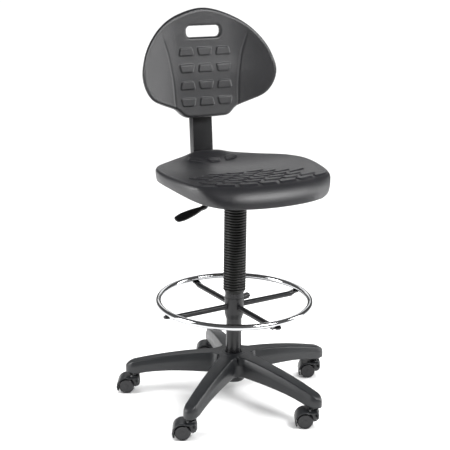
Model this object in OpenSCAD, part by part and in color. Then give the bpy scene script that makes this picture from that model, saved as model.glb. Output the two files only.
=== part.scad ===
/* [Base] */
// Distance from the column axis to each caster stem
base_r = 325; // [300:5:350]
// Direction of the first arm, counter-clockwise from the sitter's left
base_turn = 5; // [0:1:30]
// Height of the hub's top
hub_top = 158; // [150:1:165]
// Underside of the arm ends, which the caster stems go into
arm_end_z = 64; // [60:1:66]

/* [Casters] */
// Wheel diameter
wheel_d = 50; // [46:1:50]
// Width of one wheel
wheel_w = 18; // [14:1:20]
// Distance from the stem to the wheel axle
trail = 25; // [20:1:26]
// Direction in which the casters trail
trail_turn = 154; // [0:1:360]

/* [Column] */
// Outer diameter of the column tube
column_d = 50; // [48:1:50]
// Top of the column tube
column_top = 430; // [420:5:445]
// Diameter of the gas cylinder
cylinder_d = 28; // [24:1:28]
// Outer diameter of the dust bellows
bellows_d = 72; // [66:1:80]
// Number of pleats in the dust bellows
pleats = 31; // [20:1:40]

/* [Foot ring] */
// Outer diameter of the foot ring
ring_d = 501; // [440:1:520]
// Height of the foot ring's centreline
ring_z = 332; // [330:1:334]
// Diameter of the foot ring's tube
ring_tube_d = 19; // [18:1:20]
// Direction of the first spoke
spoke_turn = 6; // [0:1:12]

/* [Seat] */
// Underside of the seat cushion
seat_z = 706; // [706:1:712]
// Depth of the seat cushion's edge, from its underside to its rim
seat_edge = 70; // [60:1:80]
// Depth of the dish in the top of the seat
seat_dish = 22; // [10:1:26]

/* [Back] */
// Width of the cover over the back bar
cover_w = 70; // [60:1:74]
// Depth of that cover, front to back
cover_t = 30; // [24:1:30]
// Angle at which the back bar leans away from the seat
lean = 6; // [4:1:8]
// Width of the hand slot
slot_w = 118; // [90:1:130]
// Height of the hand slot
slot_h = 36; // [30:1:46]

/* [Hidden] */
$fn = 64;
// Radial clearance of a running fit, and the gap between parts that pass each other
fit = 0.05;
gap = 0.3;

column_r = column_d / 2;
cylinder_r = cylinder_d / 2;
hub_ring_r = 27.7;
collar_z = 274;
collar_h = 86;
collar_r = 31;
bellows_z = 361;
bellows_top = 640;
cylinder_z = 310;
cylinder_top = 686;
ring_r = (ring_d - ring_tube_d) / 2;
spoke_z = 314;
spoke_r = 9;
lock_z = 331;
lock_turn = spoke_turn + 16;

// Half of the seat's outline, from the middle of the rear edge to the middle of the front edge
seat_half = [[0, 234], [70, 225], [130, 198], [185, 152], [226, 95], [246, 30], [249, -35], [243, -100],
             [231, -165], [202, -228], [145, -268], [70, -281], [0, -284]];
// Half of the back cushion's outline, from its top to its lower edge, measured up from the floor
back_half = [[0, 1230], [82, 1211], [154, 1170], [207, 1110], [232, 1040], [222, 988], [194, 952],
             [150, 930], [110, 914], [88, 897], [70, 886], [0, 884]];

// Where the back bar's own upright frame starts
bar_y = 260;
bar_z = 820;
bar_w = 45;
bar_t = 8;
bar_leg_z = 697.5;
bar_front_y = 84;
clamp_y = 125;
// Distances along the leaning bar, from that frame's origin
bar_end = 190;
cover_start = -80;
cover_end = 62;
board_up = 142;
knob_up = 150;
slot_up = 332;
bracket_low = 70;
bracket_high = 215;
back_face = -9;

// A point between b and c on the smooth curve that runs through a, b, c and d
function on_curve(a, b, c, d, t) =
    0.5 * (2 * b + (c - a) * t + (2 * a - 5 * b + 4 * c - d) * t * t + (3 * b - a - 3 * c + d) * t * t * t);
function flip(p) = [-p[0], p[1]];
// A closed outline through half the points and their mirror images
function whole(half) = concat(half, [for (i = [len(half) - 2:-1:1]) flip(half[i])]);
function smooth(pts, steps) = let (n = len(pts))
    [for (i = [0:n - 1]) for (j = [0:steps - 1])
        on_curve(pts[(i + n - 1) % n], pts[i], pts[(i + 1) % n], pts[(i + 2) % n], j / steps)];

// A straight round bar between two points
module bar_between(a, b, r) {
    d = b - a;
    length = norm(d);
    translate(a) rotate([0, acos(d[2] / length), atan2(d[1], d[0])]) cylinder(r = r, h = length);
}

module tube(r_out, r_in, h) {
    difference() {
        cylinder(r = r_out, h = h);
        translate([0, 0, -1]) cylinder(r = r_in, h = h + 2);
    }
}

// A rectangle with round corners, centred on the origin
module rounded(w, h, r) {
    square([w - 2 * r, h], center = true);
    square([w, h - 2 * r], center = true);
    for (x = [-1, 1]) for (y = [-1, 1]) translate([x * (w / 2 - r), y * (h / 2 - r)]) circle(r = r);
}

// The frame of the back bar's upright: Z runs up the leaning bar and Y points out behind it
module upright() {
    translate([0, bar_y, bar_z]) rotate([-lean, 0, 0]) children();
}

// ---- Base ----
function arm_top(r) = hub_top - 48 * pow(r / base_r, 1.8);
function arm_low(r) = arm_end_z + 20 * (1 - pow(min(r, 300) / 300, 4));
// Half-width of an arm
function arm_half(r) = 33 - 10 * r / base_r;
// How far an arm's section has closed in towards its round end
function arm_end(r) = r < base_r ? 1 : sqrt(max(0, 1 - pow((r - base_r) / 28, 2)));

// One section of an arm: a flat top, two shoulders, upright sides and a flat underside
function arm_section(r) = let (w = arm_half(r) * max(arm_end(r), 0.25),
                               low = arm_low(r),
                               top = low + (arm_top(r) - low) * (0.45 + 0.55 * arm_end(r)),
                               shoulder = low + 0.66 * (top - low))
    [[r, -w * 0.86, low], [r, w * 0.86, low], [r, w, low + 6], [r, w * 0.98, shoulder],
     [r, w * 0.78, top], [r, -w * 0.78, top], [r, -w * 0.98, shoulder], [r, -w, low + 6]];

module base_arm() {
    stations = [for (r = [10, 50, 90, 130, 170, 210, 250, 280, 300, 325, 337, 346, 351, 353]) r];
    n = 8;
    points = [for (r = stations) each arm_section(r)];
    last = len(stations) - 1;
    sides = [for (i = [0:last - 1]) for (j = [0:n - 1]) let (k = (j + 1) % n)
        each [[i * n + j, (i + 1) * n + j, i * n + k], [i * n + k, (i + 1) * n + j, (i + 1) * n + k]]];
    ends = [[for (j = [0:n - 1]) j], [for (j = [n - 1:-1:0]) last * n + j]];
    polyhedron(points = points, faces = concat(sides, ends));
}

module at_stem(i) {
    rotate([0, 0, base_turn + 72 * (i - 1)]) translate([base_r, 0, 0]) children();
}

module star_base() {
    color("dimgray") difference() {
        union() {
            for (i = [0:4]) rotate([0, 0, base_turn + 72 * i]) base_arm();
            translate([0, 0, 70]) cylinder(r = 40, h = hub_top - 70);
        }
        translate([0, 0, 60]) cylinder(r = hub_ring_r + fit, h = 110);
        for (i = [1:5]) at_stem(i) translate([0, 0, arm_end_z - 1]) cylinder(r = 5.5 + fit, h = 37);
    }
}

module hub_ring() {
    color("black") translate([0, 0, 72]) tube(hub_ring_r, column_r + fit, hub_top + 4 - 72);
}

// ---- Column ----
module column_tube() {
    color("black") difference() {
        translate([0, 0, 62]) cylinder(r = column_r, h = column_top - 62);
        translate([0, 0, 66]) cylinder(r = column_r - 2, h = column_top);
        translate([0, 0, 60]) cylinder(r = 5 + fit, h = 10);
    }
}

module guide_bush() {
    color("dimgray") {
        translate([0, 0, column_top - 80]) tube(column_r - 2 - fit, cylinder_r + fit, 80);
        translate([0, 0, column_top]) tube(column_r, cylinder_r + fit, 4);
    }
}

module thrust_bearing() {
    color("silver") {
        translate([0, 0, 66]) tube(12, 5.4, 2);
        for (a = [0:45:315]) rotate([0, 0, a]) translate([8.7, 0, 70]) sphere(d = 3.9);
        translate([0, 0, 72]) tube(12, 5.4, 2);
    }
}

module piston_rod() {
    color("silver") difference() {
        union() {
            translate([0, 0, 56]) cylinder(r = 5, h = 268);
            translate([0, 0, 74.1]) cylinder(r = 9, h = 5);
            translate([0, 0, 322]) cylinder(r = cylinder_r - 3 - fit, h = 8);
        }
        translate([0, 0, 60]) tube(6, 4, 1.6);
    }
}

module retaining_clip() {
    color("gray") translate([0, 0, 60.05]) difference() {
        tube(9, 4 + fit, 1.5);
        translate([0, -3, -1]) cube([12, 6, 4]);
    }
}

module rubber_buffer() {
    color("black") translate([0, 0, 79.2]) tube(15, 5 + fit, 20);
}

module pressure_cylinder() {
    color("black") difference() {
        union() {
            translate([0, 0, cylinder_z]) cylinder(r = cylinder_r, h = 345);
            translate([0, 0, 655]) cylinder(r1 = cylinder_r, r2 = cylinder_r - 0.9, h = cylinder_top - 655);
        }
        translate([0, 0, cylinder_z - 1]) cylinder(r = 5 + fit, h = 20);
        translate([0, 0, cylinder_z + 7]) cylinder(r = cylinder_r - 3, h = 323);
        translate([0, 0, 660]) cylinder(r = 4 + fit, h = 40);
    }
}

module release_button() {
    color("silver") translate([0, 0, 665]) cylinder(r = 4, h = 27);
}

// The pleated sleeve round the column, with a cuff at each end
module dust_bellows() {
    outer = bellows_d / 2;
    pitch = (bellows_top - bellows_z - 8) / pleats;
    fold = [for (i = [0:2 * pleats]) [i % 2 == 0 ? outer - 3.5 : outer, bellows_z + 4 + i * pitch / 2]];
    lining = [for (i = [2 * pleats:-1:0]) fold[i] - [1.5, 0]];
    color([0.1, 0.1, 0.1]) {
        rotate_extrude() polygon(concat(fold, lining));
        translate([0, 0, bellows_z]) tube(outer - 3.5, column_r + fit, 4);
        translate([0, 0, bellows_top - 4]) tube(outer - 3.5, cylinder_r + 1, 4);
    }
}

// ---- Seat mechanism ----
socket_low = 655;
plate_z = seat_z - 3.2;
housing_low = 664;
lever_x = -22;
lever_z = 696.3;

module taper_socket() {
    color("black") difference() {
        translate([0, 0, socket_low]) cylinder(r = 19, h = cylinder_top - 2 - socket_low);
        translate([0, 0, socket_low])
            cylinder(r1 = cylinder_r + fit, r2 = cylinder_r - 0.9 + fit, h = cylinder_top - socket_low);
    }
}

// The pressed steel box that the gas cylinder's socket and the lever's pin are held in
module mechanism_housing() {
    color("black") difference() {
        translate([-45, -75, housing_low]) cube([90, 150, plate_z - housing_low]);
        translate([-42, -72, housing_low + 3]) cube([84, 144, 40]);
        cylinder(r = 19 + fit, h = 680);
        translate([-60, -34, 671]) cube([30, 34, 40]);
        translate([lever_x, 0, lever_z]) rotate([90, 0, 0]) cylinder(r = 3 + fit, h = 200, center = true);
    }
}

module lever_pin() {
    color("silver") translate([lever_x, 75, lever_z]) rotate([90, 0, 0]) cylinder(r = 3, h = 150);
}

module at_seat_bolts() {
    for (x = [-75, 75]) for (y = [-85, 100]) translate([x, y, 0]) children();
}

module seat_plate() {
    color("black") difference() {
        translate([0, 8, plate_z]) linear_extrude(3.2) rounded(180, 216, 14);
        at_seat_bolts() translate([0, 0, 690]) cylinder(r = 4, h = 30);
    }
}

module seat_bolts() {
    color("silver") at_seat_bolts() {
        translate([0, 0, plate_z - 5.2]) cylinder(r = 7.5, h = 5.2, $fn = 6);
        translate([0, 0, plate_z]) cylinder(r = 3.9, h = 13);
    }
}

module seat_board() {
    color("black") difference() {
        translate([0, -20, seat_z]) linear_extrude(12) rounded(330, 360, 60);
        at_seat_bolts() translate([0, 0, 700]) cylinder(r = 3.9 + fit, h = 30);
    }
}

module seat_cushion() {
    rim = seat_z + seat_edge;
    dish_r = 900;
    color([0.16, 0.16, 0.17]) difference() {
        translate([0, 0, seat_z]) linear_extrude(seat_edge) polygon(smooth(whole(seat_half), 4));
        translate([0, -20, rim - seat_dish + dish_r]) sphere(r = dish_r);
        translate([0, -20, seat_z - 1]) linear_extrude(13 + fit) rounded(330 + 2 * gap, 360 + 2 * gap, 60);
    }
}

// ---- Lever ----
lever_root = [lever_x, -6, lever_z];
lever_bend = [-58, -23, 675];
lever_tip = [-234, -71, 641];
lever_way = (lever_tip - lever_bend) / norm(lever_tip - lever_bend);
grip_start = lever_tip - lever_way * 122;
rod_end = lever_tip - lever_way * 40;

module lever_rod() {
    color("black") difference() {
        union() {
            bar_between(lever_root, lever_bend, 4);
            translate(lever_bend) rotate([0, 90, 16]) sphere(r = 4.6);
            bar_between(lever_bend, rod_end, 4);
            translate([lever_x, 4, lever_z]) rotate([90, 0, 0]) cylinder(r = 6, h = 16);
            translate([lever_x, -4, 692.3]) cube([28, 8, 5]);
        }
        translate([lever_x, 20, lever_z]) rotate([90, 0, 0]) cylinder(r = 3 + fit, h = 40);
    }
}

module lever_grip() {
    color([0.08, 0.08, 0.08]) difference() {
        hull() {
            translate(grip_start) sphere(r = 5.6, $fn = 32);
            translate(grip_start + lever_way * 30) sphere(r = 7, $fn = 32);
            for (s = [-1, 1]) translate(lever_tip - lever_way * 12 + s * [-1, 4, 0]) sphere(r = 6, $fn = 32);
        }
        bar_between(grip_start - lever_way * 10, rod_end + lever_way * 0.3, 4 + fit);
    }
}

// ---- Back ----
module bar_guide() {
    color("black") translate([0, 0, plate_z - 12.8]) difference() {
        translate([-27, 80, 0]) cube([54, 110, 12.8]);
        translate([-bar_w / 2 - gap, 79, 3.2]) cube([bar_w + 2 * gap, 112, bar_t + 0.6]);
        translate([0, clamp_y, -1]) cylinder(r = 4 + fit, h = 6);
    }
}

// A flat steel bar: one leg slides in the guide under the seat, the other stands up behind it
module back_bar() {
    bend_r = 24;
    corner_y = bar_y - (bar_z - bar_leg_z) * tan(lean);
    reach = bend_r * tan((90 - lean) / 2);
    centre = [corner_y - reach, bar_leg_z + bend_r];
    top = [bar_y + bar_end * sin(lean), bar_z + bar_end * cos(lean)];
    side = bar_t / 2 * [cos(lean), -sin(lean)];
    under = [for (a = [-90:7:-lean]) centre + (bend_r + bar_t / 2) * [cos(a), sin(a)]];
    over = [for (a = [-lean:-7:-90]) centre + (bend_r - bar_t / 2) * [cos(a), sin(a)]];
    color("black") translate([-bar_w / 2, 0, 0]) rotate([90, 0, 90]) linear_extrude(bar_w)
        polygon(concat([[bar_front_y, bar_leg_z - bar_t / 2]], under, [top + side, top - side], over,
                       [[bar_front_y, bar_leg_z + bar_t / 2]]));
}

module upright_cover() {
    color([0.1, 0.1, 0.1]) upright() translate([0, 0, cover_start]) linear_extrude(cover_end - cover_start) difference() {
        rounded(cover_w, cover_t, 4);
        square([bar_w + 0.2, bar_t + 0.2], center = true);
    }
}

module at_back_screws() {
    for (x = [-38, 38]) for (z = [bracket_low + 15, bracket_high - 15]) translate([x, 0, z])
        rotate([90, 0, 0]) children();
}

// The pocket on the back cushion that slides over the top of the bar
module back_bracket() {
    color("black") upright() difference() {
        union() {
            translate([0, back_face + 3, (bracket_low + bracket_high) / 2]) rotate([90, 0, 0])
                linear_extrude(3) rounded(96, bracket_high - bracket_low, 12);
            translate([-28, back_face + 3, bracket_low]) cube([56, 14, bracket_high - bracket_low]);
        }
        translate([-bar_w / 2 - gap, -bar_t / 2 - gap, bracket_low - 1])
            cube([bar_w + 2 * gap, bar_t + 2 * gap, bracket_high - bracket_low - 3]);
        translate([0, 0, knob_up]) rotate([-90, 0, 0]) cylinder(r = 4 + fit, h = 20);
        at_back_screws() cylinder(r = 2.6, h = 30);
    }
}

module back_screws() {
    color("silver") upright() at_back_screws() {
        translate([0, 0, -back_face - 3 - 3.5]) cylinder(r = 5, h = 3.5);
        translate([0, 0, -back_face - 3]) cylinder(r = 2.5, h = 12);
    }
}

module back_board() {
    color("black") upright() difference() {
        translate([0, back_face, board_up]) rotate([90, 0, 0]) linear_extrude(10) rounded(150, 150, 16);
        at_back_screws() cylinder(r = 2.5 + fit, h = 40);
    }
}

// How far in front of the middle of the back its surface stands, at a distance from the centreline
function wing(x) = 50 * pow(max(0, abs(x) - 92) / 140, 1.4);
// How much thinner the back is at that distance than in the middle
function thinner(x) = 30 * pow(max(0, abs(x) - 80) / 160, 2);

module back_cushion() {
    front = [for (x = [-240:12:240]) [x, back_face - 47 - wing(x)]];
    rear = [for (x = [240:-12:-240]) [x, back_face - wing(x) - thinner(x)]];
    slant = [[back_face + 1, 255], [back_face - 24, 302], [back_face - 24, 460], [60, 460], [60, 255]];
    color([0.16, 0.16, 0.17]) upright() difference() {
        intersection() {
            translate([0, 100, 0]) rotate([90, 0, 0]) linear_extrude(300)
                polygon([for (p = smooth(whole(back_half), 4)) [p[0], (p[1] - bar_z) / cos(lean)]]);
            linear_extrude(500) polygon(concat(front, rear));
        }
        translate([0, 20, slot_up]) rotate([90, 0, 0]) linear_extrude(120) rounded(slot_w, slot_h, 15);
        translate([-260, 0, 0]) rotate([90, 0, 90]) linear_extrude(520) polygon(slant);
        translate([0, back_face + 1, board_up]) rotate([90, 0, 0]) linear_extrude(11 + gap)
            rounded(150 + 2 * gap, 150 + 2 * gap, 16);
    }
}

// A round handle with six shallow finger hollows, on a screw that points along -Z
module clamp_knob(head_r, head_h, shank) {
    difference() {
        cylinder(r = head_r, h = head_h);
        for (a = [0:60:300]) rotate([0, 0, a]) translate([head_r + 3.5, 0, -1]) cylinder(r = 6, h = head_h + 2);
    }
    translate([0, 0, -shank]) cylinder(r = 4, h = shank);
}

module back_height_knob() {
    color([0.08, 0.08, 0.08]) upright() translate([0, 9.2, knob_up]) rotate([-90, 0, 0]) clamp_knob(18, 22, 4.8);
}

module back_depth_knob() {
    color([0.08, 0.08, 0.08]) translate([0, clamp_y, plate_z - 13.2]) rotate([180, 0, 0]) clamp_knob(18, 22, 3.4);
}

// ---- Foot ring ----
module at_spoke(i) {
    rotate([0, 0, spoke_turn + 90 * (i - 1)]) children();
}

module at_spoke_screws() {
    for (i = [1:4]) at_spoke(i) translate([ring_r, 0, 0]) children();
}

module foot_ring() {
    color("silver") difference() {
        translate([0, 0, ring_z]) rotate_extrude() translate([ring_r, 0]) difference() {
            circle(d = ring_tube_d);
            circle(d = ring_tube_d - 3);
        }
        at_spoke_screws() translate([0, 0, ring_z - 12]) cylinder(r = 3 + fit, h = 8);
    }
}

// A tube whose outer end is pressed flat to bolt up under the ring
module spoke() {
    flat_top = ring_z - ring_tube_d / 2 - 0.1;
    color([0.1, 0.1, 0.1]) difference() {
        union() {
            translate([collar_r + 0.1, 0, spoke_z]) rotate([0, 90, 0]) cylinder(r = spoke_r, h = 190);
            hull() {
                translate([collar_r + 180, 0, spoke_z]) rotate([0, 90, 0]) cylinder(r = spoke_r - 0.2, h = 8, $fn = 32);
                translate([ring_r - 10, -11, flat_top - 5]) cube([1, 22, 5]);
            }
            translate([ring_r - 10, -11, flat_top - 5]) cube([14, 22, 5]);
            translate([ring_r + 4, 0, flat_top - 5]) cylinder(r = 11, h = 5);
        }
        translate([ring_r, 0, flat_top - 10]) cylinder(r = 3 + fit, h = 20);
    }
}

module spoke_screws() {
    color("black") at_spoke_screws() translate([0, 0, ring_z - ring_tube_d / 2 - 9.1]) {
        cylinder(r = 5.5, h = 4, $fn = 6);
        translate([0, 0, 4]) cylinder(r = 3, h = 9);
    }
}

// The sleeve that carries the ring up and down the column
module ring_collar() {
    color([0.1, 0.1, 0.1]) difference() {
        union() {
            translate([0, 0, collar_z]) cylinder(r1 = column_r + 2, r2 = collar_r, h = 16);
            translate([0, 0, collar_z + 16]) cylinder(r = collar_r, h = 53);
            translate([0, 0, collar_z + 69]) cylinder(r = collar_r - 1.5, h = collar_h - 69);
        }
        translate([0, 0, collar_z - 1]) cylinder(r = column_r + 0.08, h = collar_h + 2);
        for (a = [0:15:345]) rotate([0, 0, a]) translate([collar_r - 0.5, 0, collar_z + 71])
            cylinder(r = 1.6, h = collar_h);
        rotate([0, 0, lock_turn]) translate([20, 0, lock_z]) rotate([0, 90, 0]) cylinder(r = 4 + fit, h = 30);
    }
}

module ring_lock_knob() {
    color([0.08, 0.08, 0.08]) rotate([0, 0, lock_turn]) translate([collar_r + 5, 0, lock_z])
        rotate([0, 90, 0]) {
            clamp_knob(10, 32, 4);
            translate([0, 0, -10.7]) cylinder(r = 4, h = 8);
        }
}

// ---- Casters ----
web = 15;
wheel_r = wheel_d / 2;

// The frame of one caster: X runs from the stem to the wheels, Y along the axle
module caster_frame(i) {
    at_stem(i) rotate([0, 0, trail_turn - base_turn - 72 * (i - 1)]) children();
}

module caster_stems() {
    color("silver") for (i = [1:5]) at_stem(i) {
        translate([0, 0, 34]) cylinder(r = 4, h = arm_end_z - 38);
        translate([0, 0, arm_end_z - 4]) cylinder(r = 8, h = 4);
        translate([0, 0, arm_end_z]) cylinder(r = 5.5, h = 34);
    }
}

// A web between the wheels that holds stem and axle, under a curved hood over both treads
module caster_hood(i) {
    width = 2 * wheel_w + web + 2;
    housing_h = arm_end_z - 4.6 - 22;
    color([0.12, 0.12, 0.12]) caster_frame(i) difference() {
        union() {
            translate([trail, 0, wheel_r]) rotate([90, 0, 0]) cylinder(r = wheel_r - 4, h = web, center = true);
            translate([0, -web / 2, 22]) cube([trail - 7, web, housing_h]);
            translate([0, 0, 22]) cylinder(r = web / 2 + 1, h = housing_h);
            translate([trail, width / 2, wheel_r]) rotate([90, 0, 0]) rotate([0, 0, -25]) rotate_extrude(angle = 156)
                translate([wheel_r + 1.4, 0]) square([3, width]);
            translate([-7.5, -width / 2, 49]) cube([20, width, 3]);
            translate([-9.5, -width / 2, 28]) cube([3, width, 24]);
        }
        translate([0, 0, 33]) cylinder(r = 4 + fit, h = 30);
        translate([trail, 0, wheel_r]) rotate([90, 0, 0]) cylinder(r = 4 + fit, h = 60, center = true);
        for (s = [-1, 1]) translate([trail, s * (web / 2 + 14.6), wheel_r]) rotate([90, 0, 0])
            cylinder(r = wheel_r + 1.3, h = 29, center = true);
    }
}

module caster_axle(i) {
    color("silver") caster_frame(i) translate([trail, 0, wheel_r]) rotate([90, 0, 0])
        cylinder(r = 4, h = web + 2 * wheel_w - 14, center = true);
}

// A wheel with round tread edges, a recessed outer face and a blind bore
module caster_wheel(i, side) {
    inner = web / 2 + 0.4;
    outer = inner + wheel_w;
    profile = concat([[4 + fit, 0], [wheel_r - 2, 0]],
        [for (a = [-60:30:0]) [wheel_r - 2 + 2 * cos(a), 2 + 2 * sin(a)]],
        [for (a = [0:30:90]) [wheel_r - 4 + 4 * cos(a), wheel_w - 4 + 4 * sin(a)]],
        [[wheel_r - 7, wheel_w - 1.5], [8, wheel_w - 1.5], [6, wheel_w], [0, wheel_w], [0, outer - 7 - inner],
         [4 + fit, outer - 7 - inner]]);
    color([0.1, 0.1, 0.1]) caster_frame(i) translate([trail, side * inner, wheel_r])
        rotate([-90 * side, 0, 0]) rotate_extrude() polygon(profile);
}

star_base();
hub_ring();
column_tube();
guide_bush();
thrust_bearing();
caster_stems();
dust_bellows();
piston_rod();
retaining_clip();
rubber_buffer();
pressure_cylinder();
release_button();
taper_socket();
mechanism_housing();
seat_plate();
bar_guide();
lever_pin();
seat_bolts();
seat_board();
seat_cushion();
lever_rod();
lever_grip();
back_bar();
upright_cover();
back_bracket();
back_screws();
back_board();
back_cushion();
back_height_knob();
back_depth_knob();
foot_ring();
for (i = [1:4]) at_spoke(i) spoke();
spoke_screws();
ring_collar();
ring_lock_knob();
for (i = [1:5]) caster_hood(i);
for (i = [1:5]) caster_axle(i);
for (i = [1:5]) caster_wheel(i, 1);
for (i = [1:5]) caster_wheel(i, -1);
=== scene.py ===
import bpy
import numpy as np
from mathutils import Matrix


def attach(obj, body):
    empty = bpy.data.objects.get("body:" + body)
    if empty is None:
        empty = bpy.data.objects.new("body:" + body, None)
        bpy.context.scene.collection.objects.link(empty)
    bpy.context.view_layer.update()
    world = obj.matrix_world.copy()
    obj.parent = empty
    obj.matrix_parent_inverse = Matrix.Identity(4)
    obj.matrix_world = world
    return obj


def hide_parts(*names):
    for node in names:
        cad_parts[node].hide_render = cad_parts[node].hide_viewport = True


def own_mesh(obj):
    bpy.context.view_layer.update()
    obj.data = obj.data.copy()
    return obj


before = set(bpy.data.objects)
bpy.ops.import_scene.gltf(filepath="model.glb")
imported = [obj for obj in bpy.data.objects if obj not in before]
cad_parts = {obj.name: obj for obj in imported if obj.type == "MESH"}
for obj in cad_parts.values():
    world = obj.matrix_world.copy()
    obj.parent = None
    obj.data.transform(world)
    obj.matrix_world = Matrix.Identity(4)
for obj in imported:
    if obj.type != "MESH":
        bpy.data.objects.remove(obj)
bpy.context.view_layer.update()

# ---- Camera ----
# A long lens at a little over a metre and a half from the floor, looking down at the chair
# from the sitter's right front. The frame is tipped by two thirds of a degree.
azimuth, elevation, tip = np.radians([-26.0, 16.22, 0.66])
level = np.array([np.cos(azimuth), np.sin(azimuth), 0.0])
towards = np.array([np.sin(azimuth) * np.cos(elevation), -np.cos(azimuth) * np.cos(elevation),
                    np.sin(elevation)])
above = np.cross(towards, level)
aim, distance = -0.0322 * level + np.array([0.0, 0.0, 0.5796]), 3.4128
lens = bpy.data.cameras.new("camera")
lens.lens, lens.sensor_width = 87.42, 36.0
camera = bpy.data.objects.new("camera", lens)
axes = [np.cos(tip) * level + np.sin(tip) * above, np.cos(tip) * above - np.sin(tip) * level, towards]
camera.matrix_world = (Matrix.Translation(aim + distance * towards)
                       @ Matrix(np.array(axes).T.tolist()).to_4x4())
bpy.context.scene.collection.objects.link(camera)
bpy.context.scene.camera = camera


# ---- Star base ----
# Five arched arms in one moulding of glass-filled nylon, each a beam with a flat top, bevelled shoulders and
# upright sides. A caster stem is pushed up into a short socket under the round end of every arm.
mm = 0.001
base_r, hub_top = 325 * mm, 158 * mm


def closed(name, points, quads, fans):
    """A mesh from points, quads and triangles. One whose volume comes out negative is turned over."""
    corners = np.concatenate([quads[:, [0, 1, 2]], quads[:, [0, 2, 3]], fans])
    a, b, c = (points[corners[:, k]] for k in range(3))
    if np.einsum("ij,ij->", a, np.cross(b, c)) < 0:
        quads, fans = quads[:, ::-1], fans[:, ::-1]
    mesh = bpy.data.meshes.new(name)
    mesh.vertices.add(len(points))
    mesh.vertices.foreach_set("co", points.astype(np.float32).ravel())
    sizes = np.concatenate([np.full(len(quads), 4), np.full(len(fans), 3)])
    mesh.loops.add(int(sizes.sum()))
    mesh.loops.foreach_set("vertex_index", np.concatenate([quads.ravel(), fans.ravel()]).astype(np.int32))
    mesh.polygons.add(len(sizes))
    mesh.polygons.foreach_set("loop_start", (np.cumsum(sizes) - sizes).astype(np.int32))
    mesh.update(calc_edges=True)
    return mesh


def skin(name, rings, ring=False):
    """A mesh through a grid of points (rings, points round a ring, xyz), with a quad between each four
    neighbours. A ring's last point joins its first. ring joins the last ring to the first; without it, each
    end is closed by a fan to the end ring's mean."""
    rows, columns = rings.shape[:2]
    index = np.arange(rows * columns).reshape(rows, columns)
    index = np.concatenate([index, index[:, :1]], axis=1)
    index = np.concatenate([index, index[:1]], axis=0) if ring else index
    quads = np.stack([index[:-1, :-1], index[:-1, 1:], index[1:, 1:], index[1:, :-1]], axis=-1).reshape(-1, 4)
    points = rings.reshape(-1, 3)
    fans = np.zeros((0, 3), int)
    if not ring:
        first, last = index[0], index[-1]
        points = np.concatenate([points, rings[:1].mean(axis=1), rings[-1:].mean(axis=1)])
        start, end = np.full(len(first) - 1, rows * columns), np.full(len(first) - 1, rows * columns + 1)
        fans = np.concatenate([np.stack([first[1:], first[:-1], start], -1),
                               np.stack([last[:-1], last[1:], end], -1)])
    return closed(name, points, quads, fans)


def shown(name, mesh, crease=40):
    """An object for a mesh, shaded smooth except across edges sharper than the crease angle in degrees."""
    mesh.polygons.foreach_set("use_smooth", np.ones(len(mesh.polygons), bool))
    mesh.set_sharp_from_angle(angle=np.radians(crease))
    made = bpy.data.objects.new(name, mesh)
    bpy.context.scene.collection.objects.link(made)
    return made


def eased(corners, cut, steps=5):
    """Closed outlines (..., corners, 2) with each corner rounded. A corner C becomes the parabola
    (1 - t)^2 A + 2 t (1 - t) C + t^2 B, where A and B lie at the cut length along its two edges, or at 45%
    of the edge if that is less."""
    before, after = np.roll(corners, 1, axis=-2) - corners, np.roll(corners, -1, axis=-2) - corners
    long_a, long_b = (np.linalg.norm(d, axis=-1, keepdims=True) + 1e-9 for d in (before, after))
    reach = np.asarray(cut)[..., None]
    start = corners + before / long_a * np.minimum(reach, 0.45 * long_a)
    end = corners + after / long_b * np.minimum(reach, 0.45 * long_b)
    t = np.linspace(0, 1, steps)[:, None]
    arcs = ((1 - t) ** 2 * start[..., None, :] + 2 * t * (1 - t) * corners[..., None, :]
            + t**2 * end[..., None, :])
    return arcs.reshape(*corners.shape[:-2], -1, 2)


def turned(profile, steps=96):
    """A profile of (distance from the axis d, height h) turned round Z: x = d cos a, y = d sin a, z = h."""
    a = np.arange(steps) * 2 * np.pi / steps
    d, h = profile[:, :1], profile[:, 1:]
    return np.stack([d * np.cos(a), d * np.sin(a), h + 0 * a], axis=-1)


def fused(name, meshes, cuts=()):
    """One closed mesh from closed meshes that overlap, less the cuts, by exact booleans."""
    parts = [bpy.data.objects.new(name, m) for m in [*meshes, *cuts]]
    for part in parts:
        bpy.context.scene.collection.objects.link(part)
    for k, part in enumerate(parts[1:], 1):
        join = parts[0].modifiers.new("join", "BOOLEAN")
        join.object, join.solver = part, "EXACT"
        join.operation = "UNION" if k < len(meshes) else "DIFFERENCE"
    made = bpy.data.meshes.new_from_object(parts[0].evaluated_get(bpy.context.evaluated_depsgraph_get()))
    for part in parts:
        bpy.data.objects.remove(part)
    return made


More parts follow.
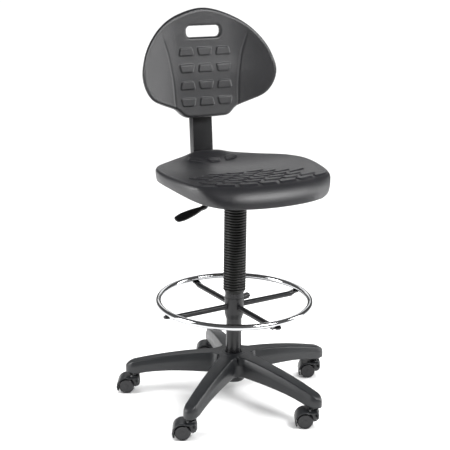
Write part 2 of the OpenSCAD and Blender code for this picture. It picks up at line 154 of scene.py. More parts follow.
class Link:
    """A shader socket. Arithmetic on it adds Math nodes, and node() adds any other node to its tree."""

    def __init__(self, tree, socket=None):
        self.tree, self.socket = tree, socket

    def node(self, kind, settings=None, inputs=None, output=0):
        """A new node with its settings and inputs, as the link to one of its outputs. The setting stops gives
        a ramp's greys as (place, grey)."""
        made = self.tree.nodes.new("ShaderNode" + kind)
        for name, value in (settings or {}).items():
            if name == "stops":
                ramp = made.color_ramp.elements
                for k, (place, grey) in enumerate(value):
                    stop = ramp[k] if k < 2 else ramp.new(place)
                    stop.position, stop.color = place, (grey, grey, grey, 1)
            else:
                setattr(made, name, value)
        for name, value in (inputs or {}).items():
            if isinstance(value, Link):
                self.tree.links.new(value.socket, made.inputs[name])
            else:
                made.inputs[name].default_value = value
        return Link(self.tree, made.outputs[output])

    def sum(self, operation, first, second):
        """A Math node over two values."""
        return self.node("Math", {"operation": operation}, {0: first, 1: second})

    def __add__(self, other):
        return self.sum("ADD", self, other)

    def __sub__(self, other):
        return self.sum("SUBTRACT", self, other)

    def __rsub__(self, other):
        return self.sum("SUBTRACT", other, self)

    def __mul__(self, other):
        return self.sum("MULTIPLY", self, other)

    __radd__, __rmul__ = __add__, __mul__

    def mixed(self, low, high):
        """The colour that goes from low to high as this value goes from 0 to 1."""
        colours = {6: (*low, 1.0), 7: (*high, 1.0)}
        return self.node("Mix", {"data_type": "RGBA"}, {0: self, **colours}, output=2)


def material(name, paint, **plain):
    """A material whose shader takes its plain values as they are, and what varies from paint, which is given
    the object's own coordinates and returns sockets by name, with Height for a bump in metres."""
    made = bpy.data.materials.new(name)
    made.use_nodes = True
    shader = made.node_tree.nodes["Principled BSDF"]
    for socket, value in plain.items():
        shader.inputs[socket.replace("_", " ")].default_value = value
    place = Link(made.node_tree).node("TexCoord", output=3)
    for socket, value in paint(place).items():
        if socket == "Height":
            socket, value = "Normal", place.node("Bump", None, {"Distance": 1.0, "Height": value})
        made.node_tree.links.new(value.socket, shader.inputs[socket])
    return made


def moulded(dark, light, grain, depth, rough):
    """Moulded plastic: a fine spark-eroded texture, and faint flow marks in its colour and gloss."""

    def paint(place):
        texture = place.node("TexNoise", None, {"Vector": place, "Scale": grain, "Detail": 3.0})
        flow = place.node("TexNoise", None, {"Vector": place, "Scale": 14.0, "Detail": 2.0, "Distortion": 0.6})
        return {
            "Base Color": (texture * 0.55 + flow * 0.45).mixed(dark, light),
            "Roughness": rough - 0.07 + texture * 0.08 + flow * 0.08,
            "Height": texture * depth,
        }

    return paint


def arm(turn):
    """An arm as sections from the hub to past the stem, turned to its place. At distance r from the axis the
    top is hub_top less a fall that grows as r to the 1.8, and the underside drops by 21 mm towards the end.
    Beyond the stem the width closes in as a quarter circle. Nearer the hub than where the line half way to
    the next arm is 52 mm off, a fillet of 22 mm radius widens it."""
    end_r, half_turn = 28 * mm, np.radians(36)
    beyond = end_r * np.sin(np.linspace(0, np.pi / 2, 14)[1:-1])
    r = np.concatenate([np.linspace(6 * mm, 50 * mm, 5), np.linspace(51 * mm, 80 * mm, 24),
                        np.linspace(90 * mm, base_r, 34), base_r + beyond, [base_r + 27.9 * mm]])
    end = np.sqrt(np.clip(1 - (np.maximum(r - base_r, 0) / end_r) ** 2, 0, 1))
    low_end, low_r, drop, fall = 69 * mm, 0.31, 21 * mm, 48 * mm
    low = low_end + drop * (1 - (np.minimum(r, low_r) / low_r) ** 4)
    top = low + (hub_top - fall * (r / base_r) ** 1.8 - low) * (0.62 + 0.38 * end)
    side, edge = 32 * mm - 9 * mm * r / base_r, 8 * mm - 2 * mm * r / base_r
    start = 52 * mm / np.tan(half_turn)
    wide, flat = (
        np.minimum(half + fillet - np.sqrt(fillet**2 - np.clip(start - r, 0, 0.999 * fillet) ** 2),
                   r * np.tan(half_turn) + 2 * mm) * end
        for half, fillet in [(side, 22 * mm), (side - edge, 30 * mm)]
    )
    across = np.stack([0.86 * wide, wide, 0.98 * wide, flat, -flat, -0.98 * wide, -wide, -0.86 * wide], -1)
    rise = np.array([0.0, 0.08, 0.60, 1.0, 1.0, 0.60, 0.08, 0.0])
    section = np.stack([across, low[:, None] + (top - low)[:, None] * rise], axis=-1)
    cut = np.array([4, 5, 4, 5, 5, 4, 5, 4]) * mm * np.clip((r[:, None] - 44 * mm) / (24 * mm), 0.03, 1)
    outline = eased(section, cut)
    r = r[:, None] + 0 * outline[..., 0]
    x = r * np.cos(turn) - outline[..., 0] * np.sin(turn)
    y = r * np.sin(turn) + outline[..., 0] * np.cos(turn)
    return skin("arm", np.stack([x, y, outline[..., 1]], axis=-1))


def boss(turn):
    """The socket under an arm's end, turned round the stem's own axis."""
    corners = np.array([[5.8, 64.2], [16, 64.2], [20, 76], [5.8, 76]]) * mm
    points = turned(eased(corners, np.array([0.5, 2, 0.5, 0.5]) * mm), 40)
    return skin("boss", points + base_r * np.array([np.cos(turn), np.sin(turn), 0]), ring=True)


arm_turns = np.radians(5 + 72 * np.arange(5))
hub_corners = np.array([[4, 62], [35, 62], [38, 66], [43, 150], [38, hub_top / mm], [4, hub_top / mm]]) * mm
hub_profile = eased(hub_corners, np.array([0.5, 3, 3, 6, 3, 0.5]) * mm)
bore = np.array([[0.5, 40], [27.8, 40], [27.8, 190], [0.5, 190]]) * mm
star_parts = [skin("hub", turned(hub_profile), ring=True)]
star_parts += [make(t) for t in arm_turns for make in (arm, boss)]
star = shown("star_base_moulding", fused("star", star_parts, [skin("bore", turned(bore))]), 32)
nylon = material("charcoal nylon",
                 moulded((0.007, 0.008, 0.009), (0.018, 0.019, 0.021), 900.0, 0.00014, 0.36),
                 Specular_IOR_Level=0.42)
star.data.materials.append(nylon)
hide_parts("star_base")
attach(star, "base")


# ---- Casters ----
# Twin wheels on one steel axle through a web, under a hood of the same nylon as the base. The hood wraps over
# both treads behind the stem, which goes up from a round housing in front of them.
trail, wheel_r, web = 25 * mm, 25 * mm, 15 * mm
trail_turn = np.radians(154)


def hood():
    """A wall carried along a path round the wheels: an arc of 31.6 mm from 28 degrees below the axle to 112
    degrees, then over the stem and down in front of it. A ring is the wall's rounded section, moved out by the
    path's normal."""
    hood_r, half, thick = 31.6 * mm, 28 * mm, 4.6 * mm
    arc = np.radians(np.linspace(-28, 112, 40))
    over = np.stack([trail + hood_r * np.cos(arc), wheel_r + hood_r * np.sin(arc)], -1)
    front = np.array([[-16, 56.6], [-16, 36]]) * mm
    corners = np.array([front[0], front[1], [30 * mm, 26 * mm], over[-1]])
    bend = eased(corners, np.array([10, 0.1, 0.1, 0.1]) * mm, 9)[:9]
    path = np.concatenate([over, bend, np.linspace(bend[-1], front[1], 5)[1:]])
    along = np.gradient(path, axis=0)
    out = np.stack([along[:, 1], -along[:, 0]], -1) / np.linalg.norm(along, axis=1, keepdims=True)
    wall = eased(np.array([[0, -half], [0, half], [-thick, half], [-thick, -half]]), np.full(4, 3) * mm)
    rings = np.stack([path[:, None, 0] + out[:, None, 0] * wall[:, 0], 0 * path[:, :1] + wall[:, 1],
                      path[:, None, 1] + out[:, None, 1] * wall[:, 0]], -1)
    return skin("hood", rings)


def slab(outline, levels, insets):
    """An outline in XZ given thickness along Y: ring k lies at Y = levels[k], drawn in towards the outline's
    middle by insets[k]."""
    middle = outline.mean(axis=0)
    reach = outline - middle
    size = np.linalg.norm(reach, axis=1, keepdims=True)
    rings = middle + reach * (1 - np.asarray(insets)[:, None, None] / size)
    return np.stack([rings[..., 0], np.asarray(levels)[:, None] + 0 * rings[..., 0], rings[..., 1]], -1)


web_corners = np.array([[-8.5, 25], [7, 12], [25, 3.5], [46, 14],
                        [47, 33], [36, 50], [20, 53], [-8.5, 53]]) * mm
web_half = web / 2 - 0.1 * mm
web_plate = slab(eased(web_corners, np.full(8, 9) * mm), [-web_half, -web_half + mm, web_half - mm, web_half],
                 [mm, 0, 0, mm])
stem_housing = eased(np.array([[0.5, 20], [14, 20], [19, 27], [19, 50], [15, 59.6], [0.5, 59.6]]) * mm,
                     np.array([0.1, 4, 5, 6, 3, 0.1]) * mm)
a = np.linspace(0, 2 * np.pi, 72, endpoint=False)
well_r, well_wide = 26.8 * mm, 20
well = np.array([trail, wheel_r]) + well_r * np.stack([np.cos(a), np.sin(a)], -1)
wells = [skin("well", slab(well, [lower * mm, (lower + well_wide) * mm], [0, 0])) for lower in (-27.6, 7.6)]
housing = fused("caster_housing",
                [hood(), skin("socket", turned(stem_housing, 48)), skin("web", web_plate)], wells)


def wheel(side):
    """A wheel turned round its axle: a rounded tread, a shallow dish inside a raised rim, and a blind bore."""
    corners = np.array([[0.3, 11], [4.1, 11], [4.1, 0], [24.2, 0], [25, 2.5], [25, 14.5], [22, 18], [20, 18],
                        [18.8, 17.1], [7, 17.1], [5.5, 17.7], [0.3, 17.9]]) * mm
    profile = eased(corners, np.array([0.05, 0.3, 0.3, 1.2, 1.5, 3.2, 2.0, 0.8, 0.8, 0.8, 0.8, 0.05]) * mm)
    points = turned(profile, 72)
    depth = side * (web / 2 + 0.4 * mm + points[..., 2])
    return skin("wheel", np.stack([trail + points[..., 0], depth, wheel_r + points[..., 1]], -1))


wheel_nylon = material("black wheel nylon",
                       moulded((0.007, 0.007, 0.008), (0.017, 0.017, 0.019), 1300.0, 0.00006, 0.34),
                       Specular_IOR_Level=0.4)
for i, turn in enumerate(arm_turns, 1):
    place = (Matrix.Translation((base_r * np.cos(turn), base_r * np.sin(turn), 0))
             @ Matrix.Rotation(trail_turn, 4, "Z"))
    for name, mesh, body, node, cover, slot in [
        (f"caster_housing_{i}", housing.copy(), f"caster_{i}", f"caster_hood_{i}", nylon, "nylon"),
        (f"wheel_left_{i}", wheel(1), f"wheel_left_{i}", f"caster_wheel_left_{i}", wheel_nylon, "wheel_nylon"),
        (f"wheel_right_{i}", wheel(-1), f"wheel_right_{i}", f"caster_wheel_right_{i}", wheel_nylon,
         "wheel_nylon"),
    ]:
        mesh.transform(place)
        made = shown(name, mesh, 35)
        made.data.materials.append(cover)
        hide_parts(node)
        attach(made, body)


# ---- Column and its inner parts ----
# A 50 mm steel tube, powder coated black, pressed into the hub's steel ring. Inside it the gas spring's rod
# stands on a ball bearing, and a plastic bush guides its cylinder.
def painted(dark, light, rough, orange_peel=0.00005):
    """Powder coat: a slight orange peel, and a sheen that varies a little with the film's thickness."""

    def paint(place):
        peel = place.node("TexNoise", None, {"Vector": place, "Scale": 420.0, "Detail": 2.0})
        film = place.node("TexNoise", None, {"Vector": place, "Scale": 9.0, "Detail": 3.0})
        return {
            "Base Color": (peel * 0.4 + film * 0.6).mixed(dark, light),
            "Roughness": rough - 0.06 + film * 0.10 + peel * 0.03,
            "Height": peel * orange_peel,
        }

    return paint


def metal(dark, light, rough, along=(1.0, 1.0, 1.0), scale=260.0):
    """Bare or plated metal: fine marks drawn out along the directions whose scale is small, and faint
    stains."""

    def paint(place):
        stretched = place.node("Mapping", None, {"Vector": place, "Scale": along})
        marks = place.node("TexNoise", None, {"Vector": stretched, "Scale": scale, "Detail": 4.0})
        stain = place.node("TexNoise", None, {"Vector": place, "Scale": 11.0, "Detail": 3.0})
        return {
            "Base Color": (stain * 0.7 + marks * 0.3).mixed(dark, light),
            "Roughness": rough - 0.04 + marks * 0.06 + stain * 0.05,
            "Height": marks * 0.00001,
        }

    return paint


powder = material("black powder coat", painted((0.004, 0.004, 0.005), (0.009, 0.009, 0.010), 0.28),
                  Specular_IOR_Level=0.36)
zinc = material("zinc plate", metal((0.42, 0.43, 0.44), (0.60, 0.60, 0.59), 0.34, (1, 1, 0.12)), Metallic=1.0)
ground = material("ground steel", metal((0.50, 0.50, 0.51), (0.66, 0.66, 0.67), 0.20, (1, 1, 0.05)),
                  Metallic=1.0)
black_plastic = material("black plastic",
                         moulded((0.004, 0.004, 0.005), (0.011, 0.011, 0.012), 700.0, 0.00010, 0.34),
                         Specular_IOR_Level=0.36)
buffer_rubber = material("black rubber",
                         moulded((0.012, 0.012, 0.012), (0.026, 0.026, 0.025), 500.0, 0.00008, 0.62),
                         Specular_IOR_Level=0.4)


def coat(cover, nodes):
    """Give CAD pieces that keep their own shape a material in place of the one they come with."""
    for node in nodes:
        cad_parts[node].data.materials.clear()
        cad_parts[node].data.materials.append(cover)


coat(powder, ["hub_ring", "column_tube", "pressure_cylinder", "taper_socket"])
coat(zinc, ["thrust_bearing", "caster_stems", "retaining_clip", "release_button"]
     + [f"caster_axle_{i}" for i in range(1, 6)])
coat(ground, ["piston_rod"])
coat(black_plastic, ["guide_bush"])
coat(buffer_rubber, ["rubber_buffer"])


# ---- Foot ring ----
# A chromed steel tube on four black tubular spokes, whose flattened ends are screwed up into it from below.
# The plastic collar slides on the column, and one knob clamps it.
ring_r, ring_tube, ring_z = 241 * mm, 9.5 * mm, 332 * mm


def hoop():
    """A torus: a circle of the tube's radius carried round the ring's centreline."""
    a, b = np.meshgrid(np.linspace(0, 2 * np.pi, 240, endpoint=False),
                       np.linspace(0, 2 * np.pi, 32, endpoint=False), indexing="ij")
    d = ring_r + ring_tube * np.cos(b)
    return skin("hoop", np.stack([d * np.cos(a), d * np.sin(a), ring_z + ring_tube * np.sin(b)], -1), ring=True)


chrome = material("bright chrome", metal((0.44, 0.45, 0.46), (0.56, 0.56, 0.57), 0.09, scale=340.0),
                  Metallic=1.0)
foot_ring = shown("foot_ring_tube", hoop())
foot_ring.data.materials.append(chrome)
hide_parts("foot_ring")
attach(foot_ring, "foot_ring")
coat(powder, ["spoke_1", "spoke_2", "spoke_3", "spoke_4"])
coat(zinc, ["spoke_screws"])
coat(black_plastic, ["ring_collar", "ring_lock_knob"])


# ---- Dust bellows ----
# A soft pleated sleeve of black rubber, moulded in one piece. It stands on the column below and covers the gas
# cylinder. The real sleeve folds up as the seat comes down; here it is built at one height and does not fold.
bellows_z, bellows_top, pleats = 361 * mm, 640 * mm, 31


def sleeve():
    """The outer radius swings between 31.3 and 35.9 mm as |sin| of the height, to the power 0.7 for round
    crests and narrow valleys, between a plain cuff at each end. The inside follows it 1.2 mm in."""
    valley, fold, thick, neck = 31.3 * mm, 4.6 * mm, 1.2 * mm, 26 * mm
    z = np.linspace(bellows_z + 5 * mm, bellows_top - 5 * mm, pleats * 14 + 1)
    swing = np.abs(np.sin(np.pi * pleats * (z - z[0]) / (z[-1] - z[0]))) ** 0.7
    outer = np.stack([valley + fold * swing, z], -1)
    inner = outer[::-1] - np.array([thick, 0])
    cuff = np.array([[-1, 0], [0, 0.4], [0, 1], [0, 5]]) * mm
    low = np.array([valley, bellows_z]) + cuff
    high = np.array([valley, bellows_top]) + cuff[::-1] * [1, -1]
    rings = np.concatenate([[[neck, bellows_z]], low[:3], outer, high[1:], [[neck, bellows_top]],
                            [[neck, bellows_top - mm]], inner, [[neck, bellows_z + mm]]])
    return skin("sleeve", turned(rings), ring=True)


rubber = material("bellows rubber", moulded((0.002, 0.002, 0.002), (0.009, 0.009, 0.008), 380.0, 0.00010, 0.36),
                  Specular_IOR_Level=0.30)
bellows = shown("bellows_sleeve", sleeve(), 60)
bellows.data.materials.append(rubber)
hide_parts("dust_bellows")
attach(bellows, "base")
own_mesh(bellows)


# ---- Seat mechanism ----
# A pressed steel housing holds the gas spring's taper and the lever's pin. It is welded to a plate, which
# four bolts hold to a plywood board in the seat, with the back bar's guide behind it.
board = material("black stained plywood",
                 metal((0.014, 0.012, 0.010), (0.045, 0.036, 0.028), 0.62, (0.06, 1, 1), 90.0),
                 Metallic=0.0, Specular_IOR_Level=0.3)
coat(powder, ["mechanism_housing", "seat_plate", "bar_guide"])
coat(zinc, ["lever_pin", "seat_bolts"])
coat(board, ["seat_board", "back_board"])
coat(black_plastic, ["back_depth_knob"])


# ---- Seat cushion ----
# Self-skinned polyurethane foam, moulded round its board in one piece. The dished top has seven staggered
# rows of raised pads over the thighs and three at the back, and the front edge rolls down in a broad curve.
def through(x, at, values):
    """The smooth curve through the points (at, values). Each interval is the cubic whose slope at a point is
    the mean slope across its neighbours."""
    at, values = np.asarray(at, float), np.asarray(values, float)
    slope = np.gradient(values, at)
    k = np.clip(np.searchsorted(at, x) - 1, 0, len(at) - 2)
    h = at[k + 1] - at[k]
    t = np.clip((x - at[k]) / h, 0, 1)
    return (values[k] * (1 + 2 * t) * (1 - t) ** 2 + slope[k] * h * t * (1 - t) ** 2
            + values[k + 1] * t**2 * (3 - 2 * t) + slope[k + 1] * h * t**2 * (t - 1))


def step(x):
    """0 below 0, 1 above 1, and 3x^2 - 2x^3 between."""
    x = np.clip(x, 0, 1)
    return x * x * (3 - 2 * x)


def reach_of(half, centre, waves):
    """A function of direction: the distance from a centre to a symmetric outline, smooth all the way round
    through the half's points and their mirror images. It is kept to its first few Fourier waves."""
    whole = np.concatenate([half, half[-2:0:-1] * [-1, 1]])
    count = np.arange(-2, len(whole) + 3)
    t = np.linspace(0, len(whole), 3000, endpoint=False)
    ring = np.stack([through(t, count, whole[count % len(whole), k]) for k in (0, 1)], -1) - [0, centre]
    turn, far = np.arctan2(ring[:, 1], ring[:, 0]), np.linalg.norm(ring, axis=1)
    even = np.arange(1024) / 1024 * 2 * np.pi - np.pi
    order = np.argsort(turn)
    parts = np.fft.rfft(np.interp(even, turn[order], far[order], period=2 * np.pi))
    parts[waves:] = 0
    smooth = np.fft.irfft(parts)
    return lambda a: np.interp(a, even, smooth, period=2 * np.pi)


def disc(cells):
    """A square grid of points drawn out to a unit disc: x = s sqrt(1 - t^2 / 2), y = t sqrt(1 - s^2 / 2)."""
    s, t = np.meshgrid(np.linspace(-1, 1, cells + 1), np.linspace(-1, 1, cells + 1), indexing="ij")
    return s * np.sqrt(1 - t * t / 2), t * np.sqrt(1 - s * s / 2)


def border(grid):
    """The points round a square grid's edge, in order."""
    return np.concatenate([grid[:-1, 0], grid[-1, :-1], grid[:0:-1, -1], grid[0, :0:-1]])


def cushion_mesh(name, top, rings):
    """A closed mesh: the square top grid, then closed rings of the points round its edge, the first ring being
    the grid's own edge, and a fan to the mean of the last."""
    n = top.shape[0]
    index = np.arange(n * n).reshape(n, n)
    quads = [np.stack([index[:-1, :-1], index[1:, :-1], index[1:, 1:], index[:-1, 1:]], -1).reshape(-1, 4)]
    edge, points, count = border(index), [top.reshape(-1, 3)], n * n
    for ring in rings:
        new = count + np.arange(len(edge))
        quads.append(np.stack([edge, new, np.roll(new, -1), np.roll(edge, -1)], -1))
        points.append(ring)
        edge, count = new, count + len(new)
    fan = np.stack([edge, np.full(len(edge), count), np.roll(edge, -1)], -1)
    points.append(rings[-1].mean(axis=0, keepdims=True))
    points, quads = np.concatenate(points), np.concatenate(quads)
    return closed(name, points, quads, fan)


def pad(x, y, half, deep, flare, soft, corner):
    """How far a point lies inside a raised pad, from 0 outside to 1 on its top. The plan is a rectangle with
    round corners whose half length changes by flare times the way from its middle to its far edge; the wall is
    soft wide."""
    dx, dy = np.abs(x) - half * (1 + flare * y / deep) + corner, np.abs(y) - deep + corner
    outside = np.hypot(np.maximum(dx, 0), np.maximum(dy, 0)) + np.minimum(np.maximum(dx, dy), 0) - corner
    return step(-outside / soft)


seat_half = np.array([[0, 234], [70, 222], [127, 190], [182, 147], [227, 95], [251, 30], [255, -35],
                      [248, -100], [233, -165], [200, -226], [143, -266], [70, -281], [0, -284]]) * mm
seat_middle = -20 * mm
seat_reach = reach_of(seat_half, seat_middle, 14)


def seat_top(x, y):
    """The middle line's height, lifted towards the sides as the 2.4th power of the way out to the edge, with a
    low hump behind the rear pads."""
    middle = through(y, [-0.29, -0.23, -0.17, -0.10, -0.03, 0.04, 0.10, 0.15, 0.185, 0.21, 0.25],
                     np.array([762, 768, 766, 759, 751, 746, 746, 753, 762, 767, 762]) * mm)
    side = through(y, [-0.29, -0.22, -0.1, 0.03, 0.13, 0.2, 0.25],
                   np.array([764, 769, 773, 774, 771, 765, 760]) * mm)
    wide = through(y, [-0.3, -0.25, -0.2, -0.1, 0.0, 0.08, 0.15, 0.2, 0.25],
                   np.array([60, 160, 215, 243, 249, 236, 190, 125, 40]) * mm)
    out = np.clip(np.abs(x) / wide, 0, 1.15)
    hump = 9 * mm * np.exp(-((x / 0.066) ** 4) - ((y - 0.212) / 0.026) ** 2)
    return middle + (side - middle) * out**2.4 + hump


def seat_pads(x, y):
    """The rise of the pads. Thigh row k lies on the arc y = -0.2235 + 0.0345 k + 0.8 x^2, its pads 64 mm apart
    and shifted half of that in every second row, each wider in front or behind by turns."""
    pitch, row_pitch, rear_pitch, high, soft, corner = np.array([64, 34.5, 62, 3.6, 3.6, 5]) * mm
    bowed = (y - 0.8 * x**2 + 0.2235) / row_pitch
    row = np.clip(np.round(bowed), 0, 6)
    shift = 0.5 * (row % 2)
    across = (x + 8 * mm) / pitch - shift
    column = np.round(across)
    flare = 0.12 * np.where((row + column) % 2 == 0, 1, -1)
    room = through(row, [0, 2, 4, 6], np.array([195, 182, 155, 112]) * mm)
    keep = np.abs((column + shift) * pitch - 8 * mm) < room
    thigh = keep * pad((across - column) * pitch, (bowed - row) * row_pitch, 27.5 * mm, 12.5 * mm, flare,
                       soft, corner)
    at = np.clip(np.round(x / rear_pitch), -1, 1)
    rear = pad(x - at * rear_pitch, y - 0.157 - 2.5 * x**2, 22 * mm, 13 * mm, np.where(at == 0, 0.2, -0.2),
               soft, corner)
    return high * np.maximum(thigh, rear)


unit_x, unit_y = disc(256)
turn, part = np.arctan2(unit_y, unit_x), np.hypot(unit_x, unit_y)
front = step((-np.sin(turn) - 0.60) / 0.25)
roll_in, roll_down = (12 + 40 * front) * mm, (13 + 40 * front) * mm
far = seat_reach(turn)
x = part * (far - roll_in) * np.cos(turn)
y = part * (far - roll_in) * np.sin(turn) + seat_middle
top = np.stack([x, y, seat_top(x, y) + seat_pads(x, y)], -1)
turn, far, roll_in, roll_down = (border(v) for v in (turn, far, roll_in, roll_down))
low = through(np.sin(turn), [-1, -0.8, -0.45, 0, 0.45, 0.8, 1],
              np.array([706, 712, 728, 736, 727, 706, 700]) * mm)
under = 706.5 * mm


def seat_ring(out, z):
    """The ring at a distance out from the seat's middle and at height z, both given for each direction."""
    return np.stack([out * np.cos(turn), out * np.sin(turn) + seat_middle, z], -1)


rings = []
for bend in np.linspace(0, np.pi / 2, 15)[1:]:
    out = far - roll_in * (1 - np.sin(bend))
    z = seat_top(out * np.cos(turn), out * np.sin(turn) + seat_middle) - roll_down * (1 - np.cos(bend))
    rings.append(seat_ring(out, z))
rim = rings[-1][:, 2]
for share in (0.25, 0.5, 0.75, 1.0):
    rings.append(seat_ring(far - 3 * mm * share**2, rim + (low + 4 * mm - rim) * share))
for bend in np.radians([22, 45, 67, 90]):
    rings.append(seat_ring(far - 3 * mm - 5 * mm * (1 - np.cos(bend)), low + 4 * mm * (1 - np.sin(bend))))
for share in (0.95, 0.9, 0.85, 0.8, 0.76, 0.7, 0.5, 0.25):
    rings.append(seat_ring(far * share, under + (low - under) * step((share - 0.76) / 0.2)))


def foam(place):
    """Foam skin: a leather-like grain of small cells with a finer one in it, and a sheen that clouds."""
    cells = place.node("TexVoronoi", {"feature": "DISTANCE_TO_EDGE"}, {"Vector": place, "Scale": 520.0})
    grain = place.node("ValToRGB", {"stops": [(0.0, 0.0), (0.25, 1.0)]}, {0: cells})
    fine = place.node("TexNoise", None, {"Vector": place, "Scale": 1400.0, "Detail": 2.0})
    cloud = place.node("TexNoise", None, {"Vector": place, "Scale": 7.0, "Detail": 4.0})
    return {
        "Base Color": (cloud * 0.5 + grain * 0.3 + fine * 0.2).mixed((0.004, 0.004, 0.005),
                                                                     (0.013, 0.013, 0.015)),
        "Roughness": 0.35 + cloud * 0.10 - grain * 0.06,
        "Height": grain * 0.00012 + fine * 0.00008,
    }


skin_foam = material("self-skinned foam", foam, Specular_IOR_Level=0.5, Coat_Weight=0.05, Coat_Roughness=0.3)
seat = shown("seat_pad", cushion_mesh("seat", top, rings), 60)
seat.data.materials.append(skin_foam)
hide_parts("seat_cushion")
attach(seat, "seat")


# ---- Lift lever ----
# A black steel rod from the housing, bent down and out past the seat's edge, with a flat plastic paddle
# pushed on its end. Lifting it presses the gas spring's button.
lever_bend, lever_tip = np.array([-58, -23, 675]) * mm, np.array([-234, -71, 641]) * mm


def paddle():
    """The paddle as sections along the lever: each an ellipse of half width w and half thickness t, squared a
    little by the power 0.8. It is narrow where the rod enters, waisted after a collar, and broad towards its
    round end. Its flat side is tipped by 26 degrees."""
    way = (lever_tip - lever_bend) / np.linalg.norm(lever_tip - lever_bend)
    flat = np.cross([0, 0, 1], way)
    flat /= np.linalg.norm(flat)
    thick = np.cross(way, flat)
    tipped, straight, nose = 0.45, 112, 10
    flat, thick = (np.cos(tipped) * flat - np.sin(tipped) * thick,
                   np.cos(tipped) * thick + np.sin(tipped) * flat)
    s = np.concatenate([np.linspace(0, straight, 50),
                        straight + nose * np.sin(np.linspace(0, np.pi / 2, 12)[1:])]) * mm
    at = np.array([0, 8, 22, 40, 70, 100, straight]) * mm
    w = through(s, at, np.array([6.4, 8.0, 7.4, 11, 14.5, 14.8, 12.6]) * mm)
    t = through(s, at, np.array([5.6, 6.4, 5.6, 5.8, 5.8, 5.4, 4.8]) * mm)
    close = np.sqrt(np.clip(1 - (np.clip(s - straight * mm, 0, 1) / (10.05 * mm)) ** 2, 0, 1))
    a = np.arange(48) / 48 * 2 * np.pi
    c, d = (np.sign(v) * np.abs(v) ** 0.8 for v in (np.cos(a), np.sin(a)))
    centre = lever_tip + (s[:, None] - (straight + nose) * mm) * way
    rings = (centre[:, None] + (w * close)[:, None, None] * c[:, None] * flat
             + (t * close)[:, None, None] * d[:, None] * thick)
    return skin("paddle", rings)


coat(powder, ["lever_rod"])
grip = shown("lever_paddle", paddle(), 60)
grip.data.materials.append(black_plastic)
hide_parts("lever_grip")
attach(grip, "lever")


# ---- Back bar and its cover ----
# A flat steel bar slides under the seat, bends and stands up behind it. A black plastic cover is pushed over
# the upright, and the back's pocket slides on its top end.
coat(powder, ["back_bar", "back_bracket"])
coat(zinc, ["back_screws"])
coat(black_plastic, ["back_height_knob"])


def cover_tube():
    """The cover as an outline carried up the leaning bar: a rounded rectangle whose front bulges by 3 mm
    times 1 - (x / 35)^2. Its hole is the same outline narrowed and flattened, and both ends are eased."""
    half, deep, hole_half, hole_deep = 35, 15, 22.7, 4.2
    foot_y, foot_z, tilt = 260 * mm, 820 * mm, np.radians(6)
    x = np.linspace(-half, half, 15)
    bulge = np.stack([x, -deep - 3 * (1 - (x / half) ** 2)], -1)
    outer = eased(np.concatenate([bulge, [[half, deep], [-half, deep]]]) * mm,
                  np.r_[4, np.full(13, 0.5), 4, 4, 4] * mm)
    inner = outer * [hole_half / half, 0] + np.clip(outer * [0, 1], -hole_deep * mm, hole_deep * mm)
    middle = outer.mean(axis=0)
    levels = np.array([-80, -79.4, -78.5, 60.5, 61.4, 62]) * mm
    shrink = np.array([0.94, 0.98, 1, 1, 0.98, 0.94])
    rings = [np.c_[middle + (outer - middle) * k, np.full(len(outer), h)] for k, h in zip(shrink, levels)]
    rings += [np.c_[inner, np.full(len(inner), h)] for h in (levels[-1], levels[0])]
    x, out, up = np.moveaxis(np.array(rings), -1, 0)
    return skin("cover", np.stack([x, foot_y + out * np.cos(tilt) + up * np.sin(tilt),
                                   foot_z - out * np.sin(tilt) + up * np.cos(tilt)], -1), ring=True)


bar_cover = shown("bar_cover", cover_tube(), 40)
bar_cover.data.materials.append(black_plastic)
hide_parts("upright_cover")
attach(bar_cover, "back_bar")


# ---- Back cushion ----
# The same foam as the seat, moulded round a plywood board. Two creases part the flat middle from the wings,
# which curve forward. A hand slot goes through the top, over four rows of three raised pads.
back_half = np.array([[0, 1227], [82, 1209], [154, 1170], [207, 1110], [232, 1040], [222, 988], [194, 952],
                      [150, 930], [110, 914], [88, 897], [70, 886], [0, 884]]) * mm
back_middle = 1050 * mm
back_reach = reach_of(back_half, back_middle, 30)
slot_z, slot_half = 1154 * mm, np.array([59, 18]) * mm


def crease(z):
    """The half distance between the two creases at a height, through points taken up the back."""
    return through(z, [0.88, 0.948, 0.988, 1.038, 1.093, 1.129, 1.24],
                   np.array([106, 111, 113, 119, 130, 142, 175]) * mm)


def slot_gap(x, z):
    """Distance outside the rounded slot's edge, negative inside it."""
    corner = 15 * mm
    dx, dz = np.abs(x) - slot_half[0] + corner, np.abs(z - slot_z) - slot_half[1] + corner
    return np.hypot(np.maximum(dx, 0), np.maximum(dz, 0)) + np.minimum(np.maximum(dx, dz), 0) - corner


def slot_lip(x, z):
    """How far the surface has rolled in towards the slot: a quarter circle of 8 mm."""
    lip = 8 * mm
    return lip * (1 - np.sqrt(1 - np.clip(1 - slot_gap(x, z) / lip, 0, 0.98) ** 2))


def back_sheet(x, z):
    """The front's Y without pads: the middle line leans back with height, and the wings come forward by
    50 (b / 140)^1.4 mm, where b = (d + sqrt(d^2 + 16^2)) / 2 and d is the distance outside 92 mm."""
    middle = through(z, [0.88, 0.936, 1.028, 1.082, 1.154, 1.24],
                     np.array([205, 215, 226.5, 235.5, 244, 252]) * mm)
    beyond = np.abs(x) - 92 * mm
    return middle - 50 * mm * ((beyond + np.hypot(beyond, 16 * mm)) / (280 * mm)) ** 1.4


def back_front(x, z):
    """The sheet with a shallow groove down each crease and the slot's lip."""
    groove = 1.7 * mm * np.exp(-(((np.abs(x) - crease(z)) / (3.4 * mm)) ** 2)) * step((1.165 - z) / 0.05)
    return back_sheet(x, z) + groove + slot_lip(x, z)


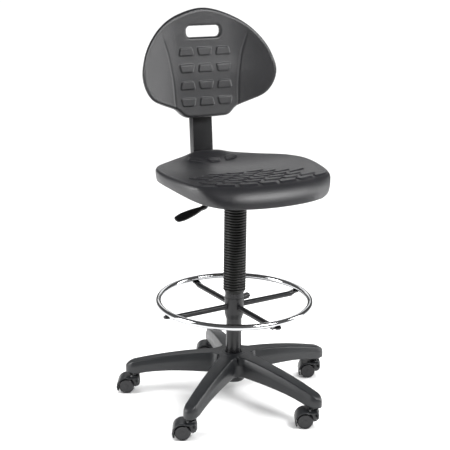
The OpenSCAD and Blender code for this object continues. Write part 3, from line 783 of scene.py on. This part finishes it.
def back_pads(x, z):
    """Four rows of three pads, 64 mm apart, each wider below or above by turns like a chequerboard."""
    rows = np.array([936, 988, 1041, 1093]) * mm
    row = np.argmin(np.abs(z[..., None] - rows), axis=-1)
    column = np.clip(np.round(x / (64 * mm)), -1, 1)
    flare = np.where((row + column) % 2 == 0, -0.12, 0.12)
    return 3.4 * mm * pad(x - column * 64 * mm, z - rows[row], 25.5 * mm, 14.5 * mm, flare, 5 * mm, 8 * mm)


def back_thick(x, z):
    """The thickness: 50 mm over the board in the lower middle, about 20 mm round the slot, and 16 mm at the
    wings' edges."""
    middle = through(z, [0.88, 0.94, 1.03, 1.09, 1.13, 1.24], np.array([42, 50, 47, 35, 23, 19]) * mm)
    thin, widest = 16 * mm, 232 * mm
    return thin + (middle - thin) * (1 - step((np.abs(x) / widest - 0.34) / 0.62))


def back_rear(x, z):
    """The rear's Y, behind the sheet by the thickness, with the slot's lip."""
    return back_sheet(x, z) + back_thick(x, z) - slot_lip(x, z)


unit_x, unit_z = disc(236)
turn, part = np.arctan2(unit_z, unit_x), np.hypot(unit_x, unit_z)
far, roll = back_reach(turn), 11 * mm
x = part * (far - roll) * np.cos(turn)
z = part * (far - roll) * np.sin(turn) + back_middle
front_sheet = np.stack([x, back_front(x, z) - back_pads(x, z), z], -1)
turn, far = border(turn), border(far)
depth = np.minimum(0.47 * back_thick(far * np.cos(turn), far * np.sin(turn) + back_middle), 15 * mm)


def back_ring(out, surface, behind):
    """The ring at a distance out from the back's middle, some way behind a surface's Y there."""
    x, z = out * np.cos(turn), out * np.sin(turn) + back_middle
    return np.stack([x, surface(x, z) + behind, z], -1)


rings = []
for bend in np.linspace(0, np.pi / 2, 9)[1:]:
    rings.append(back_ring(far - roll * (1 - np.sin(bend)), back_front, depth * (1 - np.cos(bend))))
for bend in np.linspace(np.pi / 2, 0, 9):
    rings.append(back_ring(far - roll * (1 - np.sin(bend)), back_rear, -depth * (1 - np.cos(bend))))
for share in np.linspace(1, 0.03, 26)[1:]:
    rings.append(back_ring((far - roll) * share, back_rear, 0))
slot_corners = slot_half * [[1, 1], [-1, 1], [-1, -1], [1, -1]]
slot_outline = eased(slot_corners, np.full(4, 16) * mm, 12) + [0, slot_z]
cutter = slab(slot_outline, [120 * mm, 330 * mm], [0, 0])
back = shown("back_pad", fused("back", [cushion_mesh("back", front_sheet, rings)], [skin("slot", cutter)]), 60)
back.data.materials.append(skin_foam)
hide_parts("back_cushion")
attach(back, "backrest")


# ---- Floor and light ----
# A plain pale floor under a dim sky. A very wide sun overhead keeps the floor even and is kept out of
# reflections; soft boxes stand at the right front, at each side and behind.
span = 40.0
ground_mesh = bpy.data.meshes.new("floor")
ground_mesh.from_pydata([(-span, -span, 0), (span, -span, 0), (span, span, 0), (-span, span, 0)], [],
                        [(0, 1, 2, 3)])
floor = bpy.data.objects.new("floor", ground_mesh)
bpy.context.scene.collection.objects.link(floor)
floor.data.materials.append(material(
    "pale floor",
    lambda place: {"Roughness": place.node("TexNoise", None, {"Vector": place, "Scale": 3.0}) * 0.1 + 0.75},
    Base_Color=(0.90, 0.90, 0.90, 1), Specular_IOR_Level=0.1))
sky = bpy.data.worlds.new("sky")
bpy.context.scene.world = sky
sky.use_nodes = True
sky.node_tree.nodes["Background"].inputs["Color"].default_value = (0.14, 0.14, 0.14, 1)


def lamp(name, kind, place, target, **settings):
    """A lamp at a place, turned so that it shines at a target."""
    data = bpy.data.lights.new(name, kind)
    for key, value in settings.items():
        setattr(data, key, value)
    made = bpy.data.objects.new(name, data)
    back = np.array(place, float) - target
    side = np.cross([0, 0, 1], back)
    side = side / np.linalg.norm(side)
    back = back / np.linalg.norm(back)
    turned_to = np.array([side, np.cross(back, side), back]).T
    made.matrix_world = Matrix.Translation(place) @ Matrix(turned_to.tolist()).to_4x4()
    bpy.context.scene.collection.objects.link(made)
    return made


sun = lamp("sun", "SUN", (0.3, 0.5, 4.0), (0, 0, 0), energy=3.5, angle=np.radians(50))
sun.visible_glossy = False
lamp("front_box", "AREA", (1.0, -2.0, 2.6), (0, -0.05, 0.9), energy=92, shape="RECTANGLE", size=1.3,
     size_y=0.8)
lamp("left_box", "AREA", (-2.2, 0.4, 1.3), (0, 0, 0.8), energy=60, shape="RECTANGLE", size=0.8, size_y=1.8)
lamp("right_box", "AREA", (2.3, -0.7, 1.1), (0, 0, 0.7), energy=34, shape="RECTANGLE", size=0.6, size_y=1.8)
lamp("rear_box", "AREA", (1.1, 2.5, 1.8), (0, 0, 0.8), energy=10, shape="RECTANGLE", size=2.4, size_y=0.9)
bpy.context.scene.view_settings.view_transform = "Standard"
